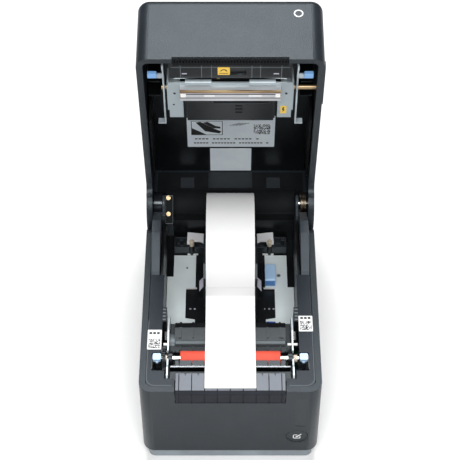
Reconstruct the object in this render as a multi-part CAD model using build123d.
from build123d import *
import math
import os

# Receipt and label printer with its lid standing open. Millimetres, +Z up, +Y to the rear.
# The printer is drawn with X = 0 on its mid-plane, Y = 0 on its front face and Z = 0 on the
# table. Everything is moved to the bottom centre of the open printer's box before export.

# ---- driving dimensions: the case ----
WIDTH = 142.0              # over the side walls
DEPTH = 220.0              # front face to rear face, lid shut
FOOT = 1.5                 # rubber feet below the plinth
PLINTH_TOP = 15.7          # top of the light plinth
SEAM = 99.0                # top of the lower case
LID_HEIGHT = 60.6          # lid above the seam
WALL = 5.0                 # width of the rim of both halves
SKIN = 3.0                 # wall behind the rim
CORNER = 9.5               # upright corner radius
TOP_ROUND = 7.0            # radius along the lid's top edges
SEAM_GAP = 0.5
PLINTH_INSET = 4.0

# ---- driving dimensions: the lid hinge ----
HINGE_Y = 196.0
HINGE_Z = SEAM + SEAM_GAP
KNUCKLE = 24.0             # radius of the lid's hinge end
KNUCKLE_GAP = 0.6
OPEN_ANGLE = 80.6
REAR_TOP = 77.0            # top of the rear wall, where the open lid stops
ARM_IN = 58.5              # inner face of the hinge arms
ARM_OUT = 65.6
PIN_R = 3.0

# ---- driving dimensions: the paper path ----
PLATEN_Y = 39.5
PLATEN_Z = SEAM - 11
PLATEN_R = 6.0
PLATEN_HALF = 39.7
SHAFT_R = 2.5
PLATE_IN = 49.0            # inner face of the steel side plates
PLATE_OUT = 50.2
ROLL_Y = 146.3
ROLL_Z = SEAM - 8.7
ROLL_R = 51.5
ROLL_HALF = 19.8
CORE_R = 13.0
WEB_HALF = 20.0
WEB_THICK = 0.25
LIP_HALF = 42.8
BAY_FLOOR = SEAM - 62.0
RUN = 0.05                 # radial running clearance of shafts
GAP = 0.4                  # clearance between pieces that move apart

# ---- driving dimensions: gears ----
MODULE = 0.6
PLATEN_TEETH = 30
IDLER_TEETH = 20
PINION_TEETH = 10
GEAR_IN = 51.4
GEAR_OUT = 54.0
BUSH_R = 4.2
IDLER_PIN_R = 1.5
IDLER_DIST = MODULE * (PLATEN_TEETH + IDLER_TEETH) / 2
PINION_DIST = MODULE * (IDLER_TEETH + PINION_TEETH) / 2
IDLER_DIR = -34.0          # direction from the platen to the idler, in degrees
PINION_DIR = -26.0
IDLER_Y = PLATEN_Y + IDLER_DIST * math.cos(math.radians(IDLER_DIR))
IDLER_Z = PLATEN_Z + IDLER_DIST * math.sin(math.radians(IDLER_DIR))
PINION_Y = IDLER_Y + PINION_DIST * math.cos(math.radians(PINION_DIR))
PINION_Z = IDLER_Z + PINION_DIST * math.sin(math.radians(PINION_DIR))
MOTOR_NECK_R = 4.2         # boss of the feed motor in the side plates

# ---- driving dimensions: controls ----
BUTTON_X = 53.5
BUTTON_Z = SEAM - 63.0
BUTTON_R = 8.6
WINDOW_X0 = 51.5
WINDOW_X1 = 59.5
WINDOW_Z0 = SEAM - 48.0
WINDOW_Z1 = SEAM - 10.0
RELEASE_Y = 32.0           # pin of the release levers
RELEASE_Z = SEAM - 17.0
RELEASE_PIN_R = 1.2
POCKET_FLOOR = SEAM - 25

# ---- driving dimensions: the board and the rear sockets ----
BOARD_Z = 9.0
PANEL_HALF = 52.0
PANEL_Z0 = 16.8
PANEL_Z1 = 33.4
SOCKET_Z0 = 18.6
SOCKET_Z1 = 31.6
SOCKETS = {
    "power": (-46.0, -31.0),
    "drawer": (-24.0, -10.0),
    "network": (-2.0, 14.5),
    "data": (22.0, 35.0),
}

# ---- driving dimensions: the roll bay ----
BAY_HALF = 57.8            # outer faces of the tub
BAY_FRONT = 88.0
BAY_REAR = 208.0
SUMP_HALF = 28.0           # sunk middle of the bay floor
PLATE_HALF = 55.4          # bright floor sheet
GUIDE_X = ROLL_HALF + 0.8  # inner face of a roll guide

# ---- driving dimensions: ribs of the paper path ----
RIB_X0 = -40.8
RIB_PITCH = 10.0
RIB_COUNT = 9

# ---- driving dimensions: inside the lid, as a forward of the hinge axis and b above it ----
COMB_HALF = 43.5
COMB_TOP = 2.0
COMB_PITCH = 2.25
COMB_TEETH = 39
ROOF_B = LID_HEIGHT - SKIN - SEAM_GAP
BLADE_A = 168.0
CUTTER_A = 178.0           # cutter motor axis
CUTTER_B = 34.0
HEAD_B = -4.3              # printing face of the head
HEAD_HALF = 38.6
HEAD_PLATE_B = 1.3
SINK_A = 149.4
HEAD_FRONT_A = 162.8
LATCH_A = 150.0
LATCH_B = 10.0
LATCH_R = 2.0
LEVER_FACE = 68.9
LEVER_PROUD = 1.4          # beyond the side wall


# ---- drawing helpers ----
def block(x0, x1, y0, y1, z0, z1):
    return Pos((x0 + x1) / 2, (y0 + y1) / 2, (z0 + z1) / 2) * Box(x1 - x0, y1 - y0, z1 - z0)


def prism_x(points, x0, x1):
    """Outline of (y, z) points, extruded from x0 to x1."""
    face = make_face(Polyline(*[(y, z) for y, z in points], close=True))
    return Pos(x0, 0, 0) * extrude(Plane.YZ * face, x1 - x0)


def prism_z(points, z0, z1):
    """Outline of (x, y) points, extruded from z0 to z1."""
    face = make_face(Polyline(*[(x, y) for x, y in points], close=True))
    return Pos(0, 0, z0) * extrude(face, z1 - z0)


def rod_x(y, z, r, x0, x1):
    return Pos((x0 + x1) / 2, y, z) * Rot(0, 90, 0) * Cylinder(r, x1 - x0)


def rod_y(x, z, r, y0, y1):
    return Pos(x, (y0 + y1) / 2, z) * Rot(90, 0, 0) * Cylinder(r, y1 - y0)


def rod_z(x, y, r, z0, z1):
    return Pos(x, y, (z0 + z1) / 2) * Cylinder(r, z1 - z0)


def rounded_block(x0, x1, y0, y1, z0, z1, r):
    plan = RectangleRounded(x1 - x0, y1 - y0, r)
    return Pos((x0 + x1) / 2, (y0 + y1) / 2, z0) * extrude(plan, z1 - z0)


def flip(shape):
    """The same piece on the other side of the mid-plane."""
    return mirror(shape, Plane.YZ)


def group(shapes):
    return Compound(children=list(shapes))


def lid_y(a):
    """Y of a point that lies a millimetres in front of the hinge axis, lid shut."""
    return HINGE_Y - a


def lid_block(x0, x1, a0, a1, b0, b1):
    """Block in the shut lid: a runs forward from the hinge axis and b up from it."""
    return block(x0, x1, lid_y(a1), lid_y(a0), HINGE_Z + b0, HINGE_Z + b1)


def lid_prism(points, x0, x1):
    return prism_x([(lid_y(a), HINGE_Z + b) for a, b in points], x0, x1)


# ---- the lower half ----
def seam_corner(gap, reach):
    """Rounded corner between the seam and the knuckle, as a bar right across the case."""
    edge = HINGE_Y - KNUCKLE - gap
    radius = 9.0
    square = block(-WIDTH, WIDTH, edge - radius, edge + reach, SEAM - radius, SEAM + 1)
    return square - rod_x(edge - radius, SEAM - radius, radius, -WIDTH, WIDTH)


def case_outline(inset):
    """Rounded plan of the case, drawn inward by inset."""
    radius = max(CORNER - inset, 2.0)
    return rounded_block(-WIDTH / 2 + inset, WIDTH / 2 - inset, inset, DEPTH - inset, 0, 200, radius)


def lower_case():
    side = [(0, PLINTH_TOP), (DEPTH, PLINTH_TOP), (DEPTH, REAR_TOP), (HINGE_Y, REAR_TOP),
            (HINGE_Y, SEAM), (0, SEAM)]
    shell = case_outline(0) & prism_x(side, -WIDTH, WIDTH)
    shell -= rod_x(HINGE_Y, HINGE_Z, KNUCKLE + KNUCKLE_GAP, -WIDTH, WIDTH)
    shell -= seam_corner(KNUCKLE_GAP, 4)
    shell -= case_outline(SKIN) & block(-WIDTH, WIDTH, 0, DEPTH, 0, SEAM - 12)
    shell -= case_outline(WALL)
    shell -= block(-LIP_HALF - GAP, LIP_HALF + GAP, -1, WALL + 1, SEAM - 15.8, SEAM + 1)
    shell -= rod_y(BUTTON_X, BUTTON_Z, BUTTON_R + GAP, -1, WALL + 1)
    shell -= block(WINDOW_X0 - 0.1, WINDOW_X1 + 0.1, -1, WALL + 1, WINDOW_Z0 - 0.1, WINDOW_Z1 + 0.1)
    shell -= block(-PANEL_HALF, PANEL_HALF, DEPTH - WALL - 1, DEPTH + 1, PANEL_Z0, PANEL_Z1)
    return shell


def base_plinth():
    outer = case_outline(PLINTH_INSET) & block(-WIDTH, WIDTH, 0, DEPTH, FOOT, PLINTH_TOP)
    tray = outer - (case_outline(PLINTH_INSET + 2.5) & block(-WIDTH, WIDTH, 0, DEPTH, FOOT + 2.5, 30))
    for x in (-50, 50):
        for y in (40, 190):
            tray += rod_z(x, y, 4, FOOT + 2, BOARD_Z)
    return tray


def rubber_feet():
    return group([rod_z(x, y, 7, 0, FOOT) for x in (-52, 52) for y in (22, 198)])


def main_board():
    """Board with its largest parts: the processor, the supply coil and capacitors."""
    top = BOARD_Z + 1.6
    board = block(-58, 58, 30, 208, BOARD_Z, top)
    board += block(-8, 12, 100, 120, top, top + 2) + block(-35, -23, 150, 162, top, top + 8)
    for index in range(3):
        board += rod_z(-40 + 14 * index, 182, 5, top, top + 13)
    return board


def socket_block(x0, x1):
    """Rear socket: a shell with its mouth open to the rear."""
    rim = 1.2
    shell = block(x0, x1, DEPTH - 24, DEPTH - 1.5, SOCKET_Z0, SOCKET_Z1)
    return shell - block(x0 + rim, x1 - rim, DEPTH - 15, DEPTH, SOCKET_Z0 + rim, SOCKET_Z1 - rim)


def connector_panel():
    half = PANEL_HALF - 0.2
    panel = block(-half, half, DEPTH - SKIN, DEPTH - SKIN + 2, PANEL_Z0 + 0.2, PANEL_Z1 - 0.2)
    for x0, x1 in SOCKETS.values():
        panel -= block(x0 - 0.1, x1 + 0.1, DEPTH - WALL - 1, DEPTH, SOCKET_Z0 - 0.1, SOCKET_Z1 + 0.1)
    return panel


def case_deck():
    """Shoulders inside the rim, level with it, round the mechanism and the roll bay."""
    top = SEAM - 1.5
    deck = case_outline(WALL + 0.3) & block(-WIDTH, WIDTH, 0, 117.6, top - 3, top)
    deck -= block(-54.5, 54.5, 24, 130, 0, 200)
    deck -= block(-51.5, 51.5, 6, 25, 0, 200)
    deck -= block(-44, 44, 0, 6.5, 0, 200)
    ear = block(-52, -LIP_HALF - 0.6, WALL + 0.3, 13.5, SEAM - 13.5, top)
    deck += ear + flip(ear) + block(-44, 44, 6.5, 13.5, SEAM - 13.5, SEAM - 10.6)
    for side in (-1, 1):
        x0, x1 = sorted((side * 50, side * 62))
        deck -= rounded_block(x0, x1, 21, 38.5, 0, 200, 1.5)
    stud = rod_x(RELEASE_Y, RELEASE_Z, RELEASE_PIN_R, -64, -55.6)
    stud += block(-65, -63, 29, 35, POCKET_FLOOR, top - 2)
    stud += block(-65, -51.2, 22, 38, POCKET_FLOOR, POCKET_FLOOR + 1.2)
    return deck + stud + flip(stud)


def roll_bay():
    """Tub that holds the roll: walls, floor, sunk middle and a boss with a sloping screw face."""
    wall = 2.0
    inner = BAY_HALF - wall
    tub = block(-BAY_HALF, BAY_HALF, BAY_FRONT, BAY_REAR, BAY_FLOOR - wall, SEAM - 26)
    tub += block(-BAY_HALF, BAY_HALF, BAY_FRONT, 181, SEAM - 27, SEAM - 5)
    tub -= block(-inner, inner, BAY_FRONT + wall, BAY_REAR - wall, BAY_FLOOR, 200)
    tub -= block(-SUMP_HALF, SUMP_HALF, 150, 186, BAY_FLOOR - wall - 1, BAY_FLOOR + 1)
    tub -= block(-54.9, 54.9, 80, 92, BAY_FLOOR + 8, SEAM)
    boss = [(184, SEAM - 13), (201.5, SEAM + 4.5), (201.5, SEAM - 28), (184, SEAM - 28)]
    tub += prism_x(boss, -55.9, -49.5)
    rim = SUMP_HALF + wall
    tub += block(-rim, rim, 148, 188, BAY_FLOOR - 5, BAY_FLOOR - 3)
    for x in (-rim, SUMP_HALF):
        tub += block(x, x + wall, 148, 188, BAY_FLOOR - 4, BAY_FLOOR - 1)
    for y in (148, 186):
        tub += block(-rim, rim, y, y + wall, BAY_FLOOR - 4, BAY_FLOOR - 1)
    return tub


def bay_floor_plate():
    """Bright sheet on the bay floor: two strips with stepped edges, joined at the front."""
    low, high = BAY_FLOOR + 0.05, BAY_FLOOR + 1.05
    strip = [(-30.5, 104), (-30.5, 117), (-38.8, 118.5), (-38.8, 151), (-30.5, 151), (-30.5, 189), (-50, 189)]
    left, right = [prism_z(strip + [(-50, step), (-PLATE_HALF, step), (-PLATE_HALF, 104)], low, high)
                   for step in (164.5, 152.5)]
    return left + flip(right) + block(-PLATE_HALF, PLATE_HALF, 92, 104.1, low, high)


def bay_rear_rack():
    """Toothed bar at the rear of the bay that the roll guides run in."""
    floor = BAY_FLOOR + 1.3
    bar = block(-50, 50, 190.5, 203, floor, floor + 9)
    bar -= block(-48, 48, 192, 201.5, floor + 2, floor + 20)
    for index in range(11):
        x = -45 + 9 * index
        bar += block(x, x + 3.4, 198.5, 201, floor + 1, floor + 9)
    return bar


def hinge_arm():
    """Left arm: a ramp up from the deck to the block that carries the hinge pin."""
    low = SEAM - 4.5
    top = SEAM + 12
    outline = [(118, low), (121, SEAM - 1), (152, top), (166, top), (184.5, SEAM + 2), (184.5, SEAM - 14),
               (192, SEAM - 19), (192, SEAM - 24), (150, SEAM - 24), (132, low)]
    arm = prism_x(outline, -ARM_OUT, -ARM_IN)
    carrier = rod_x(HINGE_Y, HINGE_Z, 7, -ARM_IN, -ARM_IN + 2.4)
    carrier += block(-ARM_IN, -ARM_IN + 2.4, HINGE_Y - 14, HINGE_Y + 5.5, SEAM - 24, HINGE_Z)
    link = block(-ARM_IN - 1, -ARM_IN + 2.4, HINGE_Y - 14, HINGE_Y - 11.6, SEAM - 24, SEAM - 12)
    arm += carrier + link
    return arm - rod_x(HINGE_Y, HINGE_Z, PIN_R, -WIDTH, 0)


def hinge_pins():
    return group([rod_x(HINGE_Y, HINGE_Z, PIN_R, -69, -56.3), rod_x(HINGE_Y, HINGE_Z, PIN_R, 56.3, 69)])


def hinge_damper():
    """Bright barrel round the left hinge pin that slows the lid."""
    barrel = rod_x(HINGE_Y, HINGE_Z, 9.6, -ARM_OUT, -ARM_IN - 0.2)
    return barrel - rod_x(HINGE_Y, HINGE_Z, PIN_R + RUN, -WIDTH, 0)


def lid_spring():
    """Torsion spring round the right hinge pin, with a leg down to the arm."""
    coils = [Pos(59.6 + 1.7 * turn, HINGE_Y, HINGE_Z) * Rot(0, 90, 0) * Torus(8.6, 0.8) for turn in range(4)]
    leg = rod_z(64.7, HINGE_Y - 8.6, 0.7, SEAM - 13, HINGE_Z + 0.3)
    return group(coils[:-1] + [coils[-1] + leg])


def hinge_cover():
    """Curved black wall inside the lid's knuckle, on a shelf behind the roll."""
    curve = rod_x(HINGE_Y, HINGE_Z, 18, -56, 56) - rod_x(HINGE_Y, HINGE_Z, 16, -60, 60)
    curve &= prism_x([(HINGE_Y, HINGE_Z), (200.5, SEAM - 30), (240, SEAM - 30), (240, HINGE_Z)], -60, 60)
    riser = block(-56, 56, 199.4, 201.4, SEAM - 25.5, SEAM - 16.5)
    shelf = block(-56, 56, 199.4, DEPTH - SKIN - 0.3, SEAM - 25.5, SEAM - 23.7)
    return curve + riser + shelf - block(-56.1, -49, 190, 202, 0, 200)


def bracket_screws():
    """Round-head screws square to the sloping face."""
    near = Plane(origin=(-53.4, 190.2, SEAM - 6.8), z_dir=(0, -1, 1))
    far = Plane(origin=(-53.4, 200.0, SEAM + 3.0), z_dir=(0, -1, 1))
    heads = [plane * Pos(0, 0, 0.9) * Cylinder(1.9, 1.8) for plane in (near, far)]
    return group(heads)


# ---- the printing mechanism in the lower half ----
def mechanism_frame():
    """Folded steel frame: two side plates and the floor between them, with the idler's stud."""
    plate = side_plate()
    right = flip(plate) + rod_x(PINION_Y, PINION_Z, MOTOR_NECK_R + 0.3, PLATE_IN, PLATE_OUT)
    right += rod_x(IDLER_Y, IDLER_Z, IDLER_PIN_R, PLATE_IN, PLATE_OUT)
    floor = block(-PLATE_OUT, PLATE_OUT, 16, 82, SEAM - 46, SEAM - 44.8)
    stud = rod_x(IDLER_Y, IDLER_Z, IDLER_PIN_R, -GEAR_OUT - 0.6, -PLATE_IN)
    stud += rod_x(IDLER_Y, IDLER_Z, 2.6, -GEAR_OUT - 1.4, -GEAR_OUT - 0.3)
    return plate + right + floor + stud


def side_plate():
    """Left side plate: a high rear lobe, the bearing notch and a tip by the exit."""
    outline = [(14, SEAM - 46), (14, SEAM - 8), (18, SEAM - 3.5), (26, SEAM - 3.5), (30, SEAM - 6),
               (50, SEAM - 6), (62, SEAM - 3.5), (78, SEAM - 8), (84, SEAM - 16), (84, SEAM - 46)]
    plate = prism_x(outline, -PLATE_OUT, -PLATE_IN)
    plate -= rod_x(PLATEN_Y, PLATEN_Z, BUSH_R, -60, -40)
    plate -= block(-60, -40, PLATEN_Y - BUSH_R, PLATEN_Y + BUSH_R, PLATEN_Z, SEAM)
    plate -= rod_x(IDLER_Y, IDLER_Z, IDLER_PIN_R, -60, -40)
    return plate - rod_x(PINION_Y, PINION_Z, MOTOR_NECK_R + 0.3, -60, -40)


def gear(y, z, teeth, phase, bore):
    """Spur gear on the left of the mechanism; phase is the direction of one tooth, in degrees."""
    pitch = MODULE * teeth / 2
    root = pitch - 1.2 * MODULE
    tip = pitch + 0.85 * MODULE
    half_root = 0.55 * MODULE * math.pi / 2 / root
    half_pitch = 0.42 * MODULE * math.pi / 2 / pitch
    half_tip = 0.22 * MODULE * math.pi / 2 / tip
    points = []
    for index in range(teeth):
        centre = math.radians(phase + 360 * index / teeth)
        for radius, half in ((root, -half_root), (pitch, -half_pitch), (tip, -half_tip), (tip, half_tip),
                             (pitch, half_pitch), (root, half_root)):
            points.append((y + radius * math.cos(centre + half), z + radius * math.sin(centre + half)))
    wheel = prism_x(points, -GEAR_OUT, -GEAR_IN)
    return wheel - rod_x(y, z, bore, -60, -40)


def mesh_phase(direction, phase, teeth, other):
    """Tooth direction of the gear that meshes with one of the given phase and teeth."""
    return direction + 180 - (phase - direction) * teeth / other + 180 / other


def idler_phase():
    return mesh_phase(IDLER_DIR, IDLER_DIR, PLATEN_TEETH, IDLER_TEETH)


def pinion_phase():
    return mesh_phase(PINION_DIR, idler_phase(), IDLER_TEETH, PINION_TEETH)


def platen_shaft():
    return rod_x(PLATEN_Y, PLATEN_Z, SHAFT_R, -GEAR_OUT - 1.5, 54.5)


def platen_roller():
    sleeve = rod_x(PLATEN_Y, PLATEN_Z, PLATEN_R, -PLATEN_HALF, PLATEN_HALF)
    return sleeve - rod_x(PLATEN_Y, PLATEN_Z, SHAFT_R, -60, 60)


def platen_gear():
    return gear(PLATEN_Y, PLATEN_Z, PLATEN_TEETH, IDLER_DIR, SHAFT_R)


def idler_gear():
    return gear(IDLER_Y, IDLER_Z, IDLER_TEETH, idler_phase(), IDLER_PIN_R + RUN)


def motor_pinion():
    return gear(PINION_Y, PINION_Z, PINION_TEETH, pinion_phase(), 1.0)


def platen_bushes():
    """Flanged bearings in the side plates, open in the middle for the shaft."""
    left = rod_x(PLATEN_Y, PLATEN_Z, BUSH_R, -PLATE_OUT, -PLATE_IN)
    left += rod_x(PLATEN_Y, PLATEN_Z, BUSH_R + 1.6, -PLATE_IN, -PLATE_IN + 3.2)
    left -= rod_x(PLATEN_Y, PLATEN_Z, SHAFT_R + RUN, -60, -40)
    return group([left, flip(left)])


def feed_motor():
    body = rod_x(PINION_Y, PINION_Z, 11, -PLATE_IN + 0.2, -PLATE_IN + 24)
    spindle = rod_x(PINION_Y, PINION_Z, 0.95, -GEAR_OUT, -PLATE_IN + 1)
    return body + rod_x(PINION_Y, PINION_Z, MOTOR_NECK_R, -PLATE_OUT, -PLATE_IN + 1) + spindle


def guide_unit():
    """Ribbed black guide that leads the paper up to the platen."""
    floor = SEAM - 24
    outline = [(47.3, floor), (47.3, SEAM - 12), (55.7, SEAM - 12), (55.7, SEAM - 9.5), (58.5, SEAM - 8.8),
               (68, SEAM - 8), (75, SEAM - 11), (78, SEAM - 16), (78, floor)]
    unit = prism_x(outline, -44.5, 44.5)
    crest = [(56.5, SEAM - 10), (58.5, SEAM - 8.1), (68, SEAM - 7.3), (75.4, SEAM - 10.3), (70, SEAM - 14)]
    for index in range(RIB_COUNT):
        x = RIB_X0 + RIB_PITCH * index
        unit += prism_x(crest, x, x + 1.6)
        unit += block(x, x + 1.6, 47.4, 52.8, SEAM - 13, SEAM - 11)
    for side in (-48.6, 44.4):
        unit += block(side, side + 4.2, 47.3, 76, floor, SEAM - 13.5)
    return unit + platen_trough() - rod_x(PINION_Y, PINION_Z, 11.5, -60, -20)


def guide_bar():
    """Plain grey strip set in front of the ribs."""
    return block(-44, 44, 53.0, 55.6, SEAM - 11.95, SEAM - 9.6)


def platen_trough():
    """Black trough below the platen, ribbed at its front edge."""
    outline = [(31.2, SEAM - 23), (31.2, SEAM - 9.6), (30.4, SEAM - 8.7), (34, SEAM - 5.9),
               (34.2, SEAM - 6.4), (33, SEAM - 9.6), (33, SEAM - 21), (46.2, SEAM - 21), (46.2, SEAM - 12),
               (47.3, SEAM - 12), (47.3, SEAM - 23)]
    trough = prism_x(outline, -43.5, 43.5)
    for index in range(RIB_COUNT):
        x = RIB_X0 + RIB_PITCH * index
        trough -= block(x, x + 0.8, 30, 35, SEAM - 9.2, SEAM - 5)
    return trough


def fixed_blade():
    return block(-47.5, 47.5, 28.6, 30.0, SEAM - 16, SEAM - 8)


def blade_holder():
    holder = block(-47.8, 47.8, 17.5, 26.2, SEAM - 24, SEAM - 10)
    return holder + block(-47.8, 47.8, 26.2, 30.6, SEAM - 24, SEAM - 16.2)


def exit_lip():
    """Ramp that the paper leaves over, bent down over the front face."""
    outline = [(16.6, SEAM - 9.5), (18.6, SEAM - 9.5), (18.6, SEAM - 1.7), (2.4, SEAM - 2.6),
               (0.2, SEAM - 4.6), (0.2, SEAM - 15.5), (3, SEAM - 15.5), (3, SEAM - 10)]
    lip = prism_x(outline, -LIP_HALF, LIP_HALF)
    for index in range(RIB_COUNT):
        x = RIB_X0 + 0.4 + RIB_PITCH * index
        lip -= block(x, x + 0.7, -1, 20, SEAM - 3.4, SEAM)
        lip -= block(x, x + 0.7, -1, 0.7, SEAM - 16, SEAM - 3)
    return lip


def release_lever():
    """Left lever: a pale pad on a crank that turns about a pin low in the frame."""
    pad = rounded_block(-61, -54.6, 30.4, 36.6, SEAM - 3, SEAM, 1.2)
    stem = block(-58.6, -56.6, 29.5, 34.5, RELEASE_Z - 3.2, SEAM - 2.5)
    boss = rod_x(RELEASE_Y, RELEASE_Z, 3.4, -58.6, -56.6)
    return pad + stem + boss - rod_x(RELEASE_Y, RELEASE_Z, RELEASE_PIN_R + RUN, -70, -50)


# ---- the roll and its guides ----
def roll_guide():
    """Left cheek beside the roll, on a foot that runs along the bay floor."""
    floor = BAY_FLOOR + 1.4
    outline = [(112, floor), (116, SEAM - 42), (130, SEAM - 22), (140, SEAM - 14), (160, SEAM - 6),
               (172, SEAM - 12), (182, SEAM - 36), (184, floor)]
    cheek = prism_x(outline, -GUIDE_X - 2.2, -GUIDE_X)
    stay = [(138, floor), (150, SEAM - 24), (160, SEAM - 24), (168, floor)]
    cheek += prism_x(stay, -GUIDE_X - 7, -GUIDE_X - 2)
    return cheek + block(-GUIDE_X - 8.5, -GUIDE_X - 2, 112, 184, floor, floor + 2)


def guide_wing():
    """Left white wing behind the cheek."""
    plan = [(-38.5, 190.5), (-38, 203.5), (-21.6, 201.5), (-21.6, 190.2), (-27, 193.4), (-32, 193.4),
            (-32.2, 190.5)]
    return prism_z(plan, BAY_FLOOR + 14, BAY_FLOOR + 16)


def guide_lock_lever():
    """Blue grip on the right cheek that frees the guides."""
    floor = BAY_FLOOR + 3.8
    outline = [(152, floor), (152, floor + 7), (153, floor + 8), (170, floor + 8), (170, floor)]
    return prism_x(outline, 30.2, 39.2)


def sensor_slider():
    """Blue thumb piece at the front of the bay."""
    base = BAY_FLOOR + 1.4
    piece = block(30.5, 38.5, 101, 110, base, base + 6)
    return piece - prism_x([(101, base + 6.1), (101, base + 3), (106, base + 6.1)], 32.5, 36.5)


def label_roll():
    roll = rod_x(ROLL_Y, ROLL_Z, ROLL_R, -ROLL_HALF, ROLL_HALF)
    return roll - rod_x(ROLL_Y, ROLL_Z, CORE_R, -30, 30)


def roll_core():
    core = rod_x(ROLL_Y, ROLL_Z, CORE_R, -ROLL_HALF, ROLL_HALF)
    return core - rod_x(ROLL_Y, ROLL_Z, CORE_R - 1.5, -30, 30)


def label_web():
    """Loose paper from the roll over the guide and platen to the exit."""
    start = math.radians(161)
    reach = ROLL_R + 0.6
    first = (ROLL_Y + reach * math.cos(start), ROLL_Z + reach * math.sin(start))
    path = [first, (93.5, SEAM - 3.0), (84, SEAM - 5.0), (68, SEAM - 5.6), (54, SEAM - 5.2),
            (PLATEN_Y, SEAM - 4.7), (30, SEAM - 4.2), (18, SEAM - 1.1), (6.4, SEAM - 1.8), (4.4, SEAM - 1.9)]
    route = Spline(*path)
    upper = Pos(0, WEB_THICK, 0) * route
    face = make_face([route, upper, Line(route @ 0, upper @ 0), Line(route @ 1, upper @ 1)])
    return Pos(-WEB_HALF, 0, 0) * extrude(Plane.YZ * face, 2 * WEB_HALF)


# ---- controls on the front ----
def feed_button():
    cap = rod_y(BUTTON_X, BUTTON_Z, BUTTON_R, 0.4, 6.5)
    return cap + rod_y(BUTTON_X, BUTTON_Z, BUTTON_R + 1.6, 5.6, 7.0)


def button_board():
    board = block(51, 64, 14.2, 15.6, SEAM - 78, SEAM - 16)
    return board + block(BUTTON_X - 2.5, BUTTON_X + 3, 8.6, 14.2, BUTTON_Z - 3, BUTTON_Z + 3)


def status_window():
    lens = block(WINDOW_X0, WINDOW_X1, 0.1, WALL, WINDOW_Z0, WINDOW_Z1)
    return fillet(lens.edges().filter_by(Axis.Y), 1.2)


# ---- the lid, drawn shut ----
def lid_solid():
    """Outside of the lid before it is hollowed."""
    box = block(-WIDTH / 2, WIDTH / 2, 0, DEPTH, SEAM - 40, SEAM + LID_HEIGHT)
    box = fillet(box.edges().filter_by(Axis.Z), CORNER)
    box = fillet(box.faces().sort_by(Axis.Z)[-1].edges(), TOP_ROUND)
    above = block(-WIDTH, WIDTH, -1, DEPTH + 1, HINGE_Z, 200)
    above += rod_x(HINGE_Y, HINGE_Z, KNUCKLE, -WIDTH, WIDTH)
    above += Pos(0, 0, SEAM_GAP) * seam_corner(0, 1) & block(-WIDTH, WIDTH, 0, HINGE_Y - 10, 0, HINGE_Z + 0.5)
    return box & above


def lid_shell():
    shell = lid_solid()
    shell -= case_outline(WALL) & block(-WIDTH, WIDTH, 0, DEPTH, 0, HINGE_Z + 7)
    shell -= case_outline(SKIN) & block(-WIDTH, WIDTH, 0, DEPTH, HINGE_Z + 6, SEAM + LID_HEIGHT - SKIN)
    for side in (-1, 1):
        x0, x1 = sorted((side * 60, side * 69.05))
        shell -= rod_x(HINGE_Y, HINGE_Z, PIN_R + RUN, x0, x1)
    shell -= block(-WIDTH / 2 + WALL, WIDTH / 2 - WALL, HINGE_Y - 30, DEPTH + 1, 0, HINGE_Z + 4)
    shell -= lid_block(-COMB_HALF - 0.3, COMB_HALF + 0.3, 190.9, 198, -1, COMB_TOP + 0.2)
    recess = lid_block(LEVER_FACE - 0.4, 80, 128.5, 182, 3.5, 24)
    bore = rod_x(lid_y(LATCH_A), HINGE_Z + LATCH_B, LATCH_R + RUN, 60, 75)
    return shell - recess - bore


def lid_liner():
    """Black inner cover: the roof above the roll, its side skirts and the ribs."""
    x_out = WIDTH / 2 - WALL
    roof = lid_block(-x_out, x_out, -18.5, 100, 47, 49)
    skirt = lid_block(-x_out, -x_out + 1.6, 20, 100, 14, 48)
    liner = roof + skirt + flip(skirt)
    for a in (112, 130):
        rib = lid_block(-x_out, -56, a, a + 1.6, 30, ROOF_B - 0.8)
        liner += rib + flip(rib)
    liner += lid_block(-x_out, x_out, 99, 101, 47, ROOF_B - 0.6)
    front = lid_block(-60, 60, 101, 190.7, ROOF_B - 4, ROOF_B - 2)
    return liner + front


def lid_comb():
    """Serrated strip behind the lid's front edge that the paper is torn against."""
    strip = lid_block(-COMB_HALF, COMB_HALF, 187.8, 190.8, 0.6, 6)
    for index in range(COMB_TEETH):
        x = -COMB_HALF + index * COMB_PITCH
        strip += lid_block(x, x + COMB_PITCH / 2, 190.7, 195.8, 0.6, COMB_TOP)
    return strip


def cutter_housing():
    """Black cover of the cutter, with a slot on its face and ears at both ends."""
    housing = lid_block(-46.5, 46.5, 170.4, 187.6, 2.5, 22)
    housing += lid_block(-46.5, 46.5, 164.0, 170.5, 12, 22)
    housing -= lid_block(0, 12, 174.5, 180, 0, 4.2)
    housing -= lid_block(-43.6, 43.6, BLADE_A - 0.1, BLADE_A + 1.1, 0, 20.4)
    for x in (-36, 33):
        housing += lid_block(x, x + 3.6, 173.5, 174.5, 1.9, 2.6)
    return housing


def moving_blade():
    """Cutter blade in the slot of its housing, with a shallow V edge."""
    edge = HINGE_Z + 3.6
    blade = block(-43, 43, lid_y(BLADE_A + 1), lid_y(BLADE_A), edge, HINGE_Z + 20)
    notch = [(-43.1, edge - 0.1), (0, edge + 2.2), (43.1, edge - 0.1), (43.1, edge - 1), (-43.1, edge - 1)]
    return blade - extrude(Plane.XZ * make_face(Polyline(*notch, close=True)), 60, both=True)


def cutter_rod(radius, x0, x1):
    """Round piece on the cutter motor's axis."""
    return rod_x(lid_y(CUTTER_A), HINGE_Z + CUTTER_B, radius, x0, x1)


def cutter_motor():
    return cutter_rod(8, -42, -14) + cutter_rod(1, -46, -42)


def cutter_bracket():
    """Plate over the cutter with an upright for its motor."""
    plate = lid_block(-47, 47, 163.9, 188, 22.2, 23.4)
    tower = lid_block(-48.4, -47.2, 166, 188, 22.2, 46)
    tower += lid_block(-48.4, -46.8, 163.9, 188, 22.2, 23.4)
    return plate + tower - cutter_rod(1.1, -60, -42)


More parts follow.
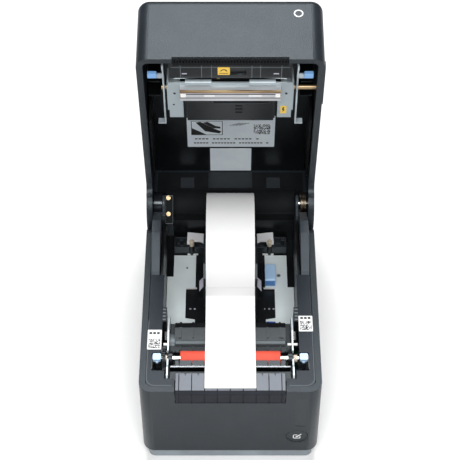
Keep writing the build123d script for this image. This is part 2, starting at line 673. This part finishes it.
def head_bracket():
    """Steel frame of the thermal head: two flat legs joined by a cross-bar with two rolled lugs."""
    leg = lid_block(-47.5, -36.6, 122.5, 166, HEAD_PLATE_B, HEAD_PLATE_B + 1.2)
    leg += lid_block(-48.7, -47.4, 132, 163.4, HEAD_PLATE_B, 18)
    bar = lid_block(-36.7, 36.7, SINK_A, 166, HEAD_PLATE_B, HEAD_PLATE_B + 1.2)
    for x in (-34.5, 14.5):
        bar += rod_x(lid_y(165), HINGE_Z + HEAD_PLATE_B + 1.2, 2.4, x, x + 20)
    bar -= lid_block(-HEAD_HALF - 0.1, HEAD_HALF + 0.1, 140, HEAD_FRONT_A, -5, HEAD_PLATE_B)
    frame = leg + flip(leg) + bar
    return frame - rod_x(lid_y(LATCH_A), HINGE_Z + LATCH_B, LATCH_R + RUN, -60, 60)


def thermal_head():
    """Ceramic strip with the row of heater dots over the platen."""
    return lid_block(-HEAD_HALF, HEAD_HALF, 154, HEAD_FRONT_A, HEAD_B, HEAD_B + 1.2)


def heat_sink():
    return lid_block(-HEAD_HALF, HEAD_HALF, SINK_A, HEAD_FRONT_A, HEAD_B + 1.2, HEAD_PLATE_B)


def head_cover():
    """Black cover behind the head, with louvres and a long slot."""
    cover = lid_block(-34.8, 34.8, 121, SINK_A - 0.2, HEAD_PLATE_B, 6.5)
    cover += lid_block(-33.6, 33.6, 123, SINK_A - 0.2, HEAD_B + 2.0, HEAD_PLATE_B + 0.1)
    cover -= lid_block(-13, 30, 145.4, 147.4, HEAD_B, HEAD_B + 4)
    for index in range(3):
        cover -= lid_block(3.8, 9.4, 133 + 4 * index, 134.4 + 4 * index, HEAD_B, HEAD_B + 3.4)
    return cover - lid_block(-33, 33, 122.6, SINK_A - 1.8, HEAD_PLATE_B + 0.2, 13)


def lid_frame():
    """Steel frame under the lid's roof that hangs the head and carries the cutter and its motor."""
    hanger = lid_block(-48.7, -40, 134, 152, 18, 19.4) + lid_block(-41.4, -40, 134, 152, 18, ROOF_B - 4)
    rail = lid_block(-41.4, -40, 150, 165, 22.2, 30)
    cross = lid_block(-41.4, 41.4, 134, 152, ROOF_B - 5.4, ROOF_B - 4)
    return cutter_bracket() + hanger + flip(hanger) + rail + flip(rail) + cross


def latch_shaft():
    return rod_x(lid_y(LATCH_A), HINGE_Z + LATCH_B, LATCH_R, -53.4, LEVER_FACE + 1)


def latch_arm():
    """Left sheet arm on the latch shaft: a hook bill in front, a bent tail behind."""
    outline = [(113, 2), (113, 6.5), (128, 7), (143, 14), (157, 14), (172, 7), (184, 9), (186, 5),
               (186, 1), (181.5, 1), (178, 3.5), (160, 4), (128, 2.2)]
    arm = lid_prism(outline, -51.9, -50.7)
    arm += lid_block(-57, -51.8, 113, 114.4, 2, 6.5)
    arm += lid_block(-62.5, -51.8, 167.5, 172.5, 4.6, 5.8)
    return arm - rod_x(lid_y(LATCH_A), HINGE_Z + LATCH_B, LATCH_R, -70, -40)


def latch_tab():
    """Left blue finger tab on the arm."""
    return lid_block(-63, -55.9, 171, 176.5, 1.6, 4.6)


def cover_open_lever():
    """Finger lever in a recess on the right side of the lid."""
    outline = [(133, 6.2), (131.6, 8), (131.6, 15), (133, 17), (157, 18), (176, 14.5),
               (177.5, 12.5), (177.5, 9), (176, 7.4)]
    paddle = lid_prism(outline, LEVER_FACE + 0.1, WIDTH / 2 + LEVER_PROUD)
    return paddle - rod_x(lid_y(LATCH_A), HINGE_Z + LATCH_B, LATCH_R, 60, LEVER_FACE + 1)


# ---- assembly ----
def base_nodes():
    arm = hinge_arm()
    guide = roll_guide()
    wing = guide_wing()
    lever = release_lever()
    nodes = {
        "lower_case": lower_case(), "base_plinth": base_plinth(), "rubber_feet": rubber_feet(),
        "main_board": main_board(), "connector_panel": connector_panel(),
        "case_deck": case_deck(), "roll_bay": roll_bay(), "bay_floor_plate": bay_floor_plate(),
        "bay_rear_rack": bay_rear_rack(), "hinge_arm_left": arm, "hinge_arm_right": flip(arm),
        "hinge_pins": hinge_pins(), "hinge_damper": hinge_damper(), "lid_spring": lid_spring(),
        "hinge_cover": hinge_cover(), "bracket_screws": bracket_screws(),
        "mechanism_frame": mechanism_frame(), "platen_shaft": platen_shaft(),
        "platen_roller": platen_roller(), "platen_gear": platen_gear(), "idler_gear": idler_gear(),
        "motor_pinion": motor_pinion(), "platen_bushes": platen_bushes(),
        "feed_motor": feed_motor(), "guide_unit": guide_unit(), "guide_bar": guide_bar(),
        "fixed_blade": fixed_blade(), "blade_holder": blade_holder(), "exit_lip": exit_lip(),
        "release_lever_left": lever, "release_lever_right": flip(lever),
        "roll_guide_left": guide, "roll_guide_right": flip(guide), "guide_wings": group([wing, flip(wing)]),
        "guide_lock_lever": guide_lock_lever(), "sensor_slider": sensor_slider(),
        "label_roll": label_roll(), "roll_core": roll_core(), "label_web": label_web(),
        "feed_button": feed_button(), "button_board": button_board(), "status_window": status_window(),
    }
    sockets = {name: socket_block(x0, x1) for name, (x0, x1) in SOCKETS.items()}
    nodes["power_inlet"] = sockets["power"]
    nodes["data_socket"] = sockets["data"]
    nodes["modular_jacks"] = group([sockets["drawer"], sockets["network"]])
    return nodes


def lid_nodes():
    arm = latch_arm()
    tab = latch_tab()
    return {
        "lid_shell": lid_shell(), "lid_liner": lid_liner(), "lid_comb": lid_comb(),
        "cutter_housing": cutter_housing(), "moving_blade": moving_blade(), "cutter_motor": cutter_motor(),
        "lid_frame": lid_frame(), "head_bracket": head_bracket(), "thermal_head": thermal_head(),
        "heat_sink": heat_sink(), "head_cover": head_cover(), "latch_shaft": latch_shaft(),
        "latch_arms": group([arm, flip(arm)]),
        "latch_tabs": group([tab, flip(tab)]), "cover_open_lever": cover_open_lever(),
    }


def main():
    os.makedirs("parts", exist_ok=True)
    nodes = base_nodes()
    hinge = Axis((0, HINGE_Y, HINGE_Z), (1, 0, 0))
    for name, shape in lid_nodes().items():
        nodes[name] = shape.rotate(hinge, -OPEN_ANGLE)
    box = Compound(children=[shape.moved(Location()) for shape in nodes.values()]).bounding_box()
    shift = Pos(-(box.min.X + box.max.X) / 2, -(box.min.Y + box.max.Y) / 2, -box.min.Z)
    for name, shape in nodes.items():
        export_step(shift * shape, "parts/" + name + ".step")
    print(len(nodes), "nodes; box", box.size, "; shift", shift.position)


main()
